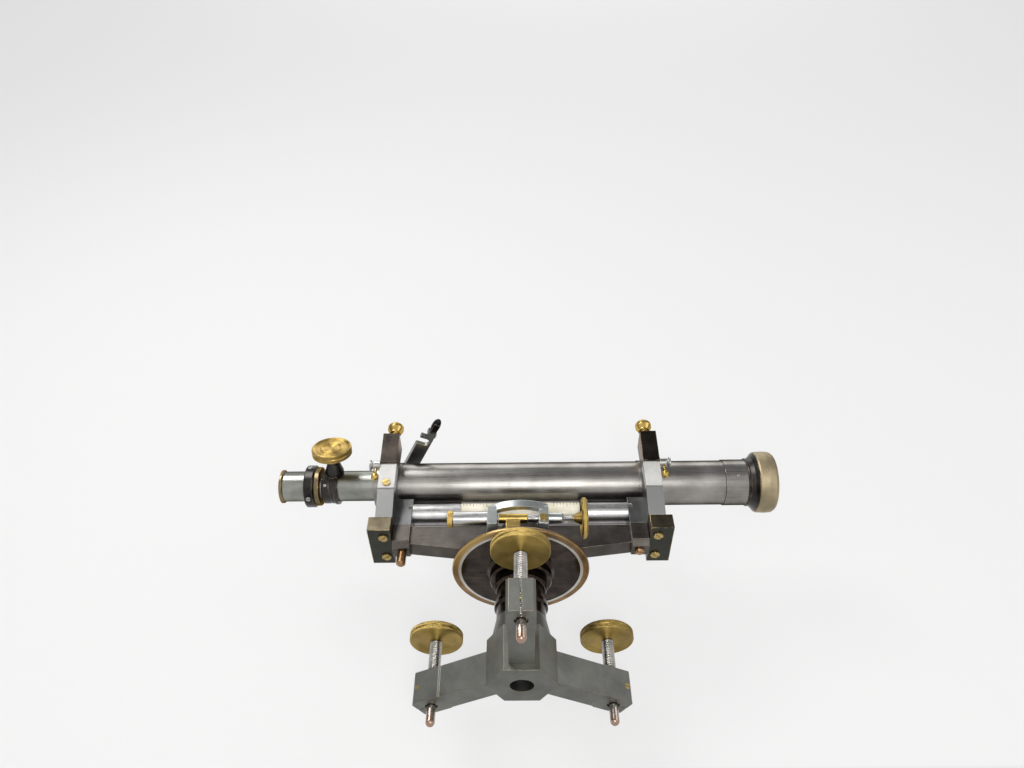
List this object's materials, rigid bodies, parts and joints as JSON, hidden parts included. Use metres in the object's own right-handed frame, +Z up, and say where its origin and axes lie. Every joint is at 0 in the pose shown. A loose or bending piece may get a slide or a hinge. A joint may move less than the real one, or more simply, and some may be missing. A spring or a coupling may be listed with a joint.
{
  "type": "surveying level",
  "caption": "Wye level: a telescope in two wyes over a bubble tube, on a turning spindle with a slow-motion screw and a three-screw levelling foot.",
  "frame": {"origin": "mouth of the tripod hole in the hub's underside, on the vertical axis", "axes": "+X along the telescope to the object glass, +Z up along the vertical axis, -Y towards the tangent screw"},
  "size_m": [0.3857, 0.1481, 0.2124],
  "materials": {
    "blackened_bronze": "blackened, satin, worn at the edges",
    "blackened_metal": "blackened, matt, brass showing at the edges",
    "steel": "turned, a little tarnished",
    "white_metal": "satin",
    "bronzed_tube": "bronzed grey, polished",
    "brass": "lacquered and turned",
    "worn_brass": "lacquer worn to a dull brown",
    "glass": "clear"
  },
  "bodies": {
    "base": {"tribrach": "blackened_bronze", "tribrach_arms": "blackened_bronze", "arm_pinch_screws": "brass", "socket": "blackened_bronze"},
    "foot_front": {"levelling_screw_front": "steel", "levelling_head_front": "brass"},
    "foot_left": {"levelling_screw_left": "steel", "levelling_head_left": "brass"},
    "foot_right": {"levelling_screw_right": "steel", "levelling_head_right": "brass"},
    "clamp": {"clamp_disc": "blackened_bronze", "disc_rim": "worn_brass", "disc_bright_ring": "white_metal", "clamp_tongue": "brass"},
    "clamp_key": {"clamp_screw": "brass"},
    "alidade": {"spindle": "steel", "spindle_nut": "brass", "bar": "blackened_bronze", "bar_end_screws": "brass", "wye_left": "blackened_metal", "wye_right": "blackened_metal", "wye_plates": "blackened_metal", "plate_screws": "brass", "catch_blocks": "white_metal", "catch_posts": "blackened_metal", "catch_side_screws": "white_metal", "catch_pins": "brass", "face_screws": "brass", "clip_pivots": "steel", "level_tube": "white_metal", "level_vial": "glass", "level_blocks": "blackened_metal", "tangent_bridge": "white_metal", "spring_barrel": "white_metal", "spring_cap": "brass", "tangent_spring": "steel", "spring_plunger": "steel"},
    "tangent": {"tangent_screw": "steel", "tangent_head": "brass"},
    "clip_left": {"clip_left": "blackened_metal"},
    "clip_right": {"clip_right": "blackened_metal"},
    "catch_left": {"catch_screw_left": "brass"},
    "catch_right": {"catch_screw_right": "brass"},
    "telescope": {"telescope_tube": "bronzed_tube", "telescope_collars": "bronzed_tube", "rear_tube": "bronzed_tube", "focus_housing": "blackened_metal", "object_cell": "bronzed_tube", "object_flare": "blackened_metal", "object_ring": "worn_brass", "object_glass": "glass"},
    "draw": {"draw_tube": "bronzed_tube", "draw_ring": "worn_brass", "crosshair_cell": "blackened_metal", "crosshair_screws": "brass"},
    "eyepiece": {"eyepiece": "bronzed_tube", "eyepiece_flange": "worn_brass", "eye_lens": "glass"},
    "focus": {"focus_pinion": "steel", "focus_knob": "brass"}
  },
  "joints": [
    {"name": "foot_front_turn", "type": "hinge", "parent": "base", "child": "foot_front", "pos_m": [0, -0.0703, 0], "axis": [0, 0, 1], "continuous": true},
    {"name": "foot_left_turn", "type": "hinge", "parent": "base", "child": "foot_left", "pos_m": [-0.06088, 0.03515, 0], "axis": [0, 0, 1], "continuous": true},
    {"name": "foot_right_turn", "type": "hinge", "parent": "base", "child": "foot_right", "pos_m": [0.06088, 0.03515, 0], "axis": [0, 0, 1], "continuous": true},
    {"name": "azimuth", "type": "hinge", "parent": "base", "child": "clamp", "pos_m": [0, 0, 0.09], "axis": [0, 0, 1], "continuous": true},
    {"name": "clamp_key_turn", "type": "hinge", "parent": "clamp", "child": "clamp_key", "pos_m": [0, 0.05, 0.0809], "axis": [0, 1, 0], "range_deg": [-270, 0]},
    {"name": "slow_motion", "type": "hinge", "parent": "clamp", "child": "alidade", "pos_m": [0, 0, 0.1], "axis": [0, 0, 1], "range_deg": [-1, 1]},
    {"name": "tangent_turn", "type": "hinge", "parent": "alidade", "child": "tangent", "pos_m": [0.04, -0.03, 0.1096], "axis": [1, 0, 0], "range_deg": [-433, 433]},
    {"name": "clip_left_swing", "type": "hinge", "parent": "alidade", "child": "clip_left", "pos_m": [-0.09825, 0.023, 0.19], "axis": [0, 0, 1], "range_deg": [-25.5, 94.5]},
    {"name": "clip_right_swing", "type": "hinge", "parent": "alidade", "child": "clip_right", "pos_m": [0.09825, 0.023, 0.19], "axis": [0, 0, 1], "range_deg": [-6, 114]},
    {"name": "catch_left_turn", "type": "hinge", "parent": "alidade", "child": "catch_left", "pos_m": [-0.09825, -0.031, 0.19], "axis": [0, 0, 1], "continuous": true},
    {"name": "catch_right_turn", "type": "hinge", "parent": "alidade", "child": "catch_right", "pos_m": [0.09825, -0.031, 0.19], "axis": [0, 0, 1], "continuous": true},
    {"name": "telescope_turn", "type": "hinge", "parent": "alidade", "child": "telescope", "pos_m": [0, 0, 0.167], "axis": [1, 0, 0], "continuous": true},
    {"name": "focus_turn", "type": "hinge", "parent": "telescope", "child": "focus", "pos_m": [-0.1454, 0, 0.167], "axis": [0, -0.9613, 0.2756], "range_deg": [0, 359]},
    {"name": "draw_slide", "type": "slide", "parent": "telescope", "child": "draw", "axis": [-1, 0, 0], "range_m": [0, 0.025]},
    {"name": "eyepiece_slide", "type": "slide", "parent": "draw", "child": "eyepiece", "axis": [-1, 0, 0], "range_m": [0, 0.006]}
  ],
  "couplings": [
    {"joint": "tangent_turn", "follows": "slow_motion", "ratio": 432},
    {"joint": "focus_turn", "follows": "draw_slide", "rad_per_m": 250}
  ]
}
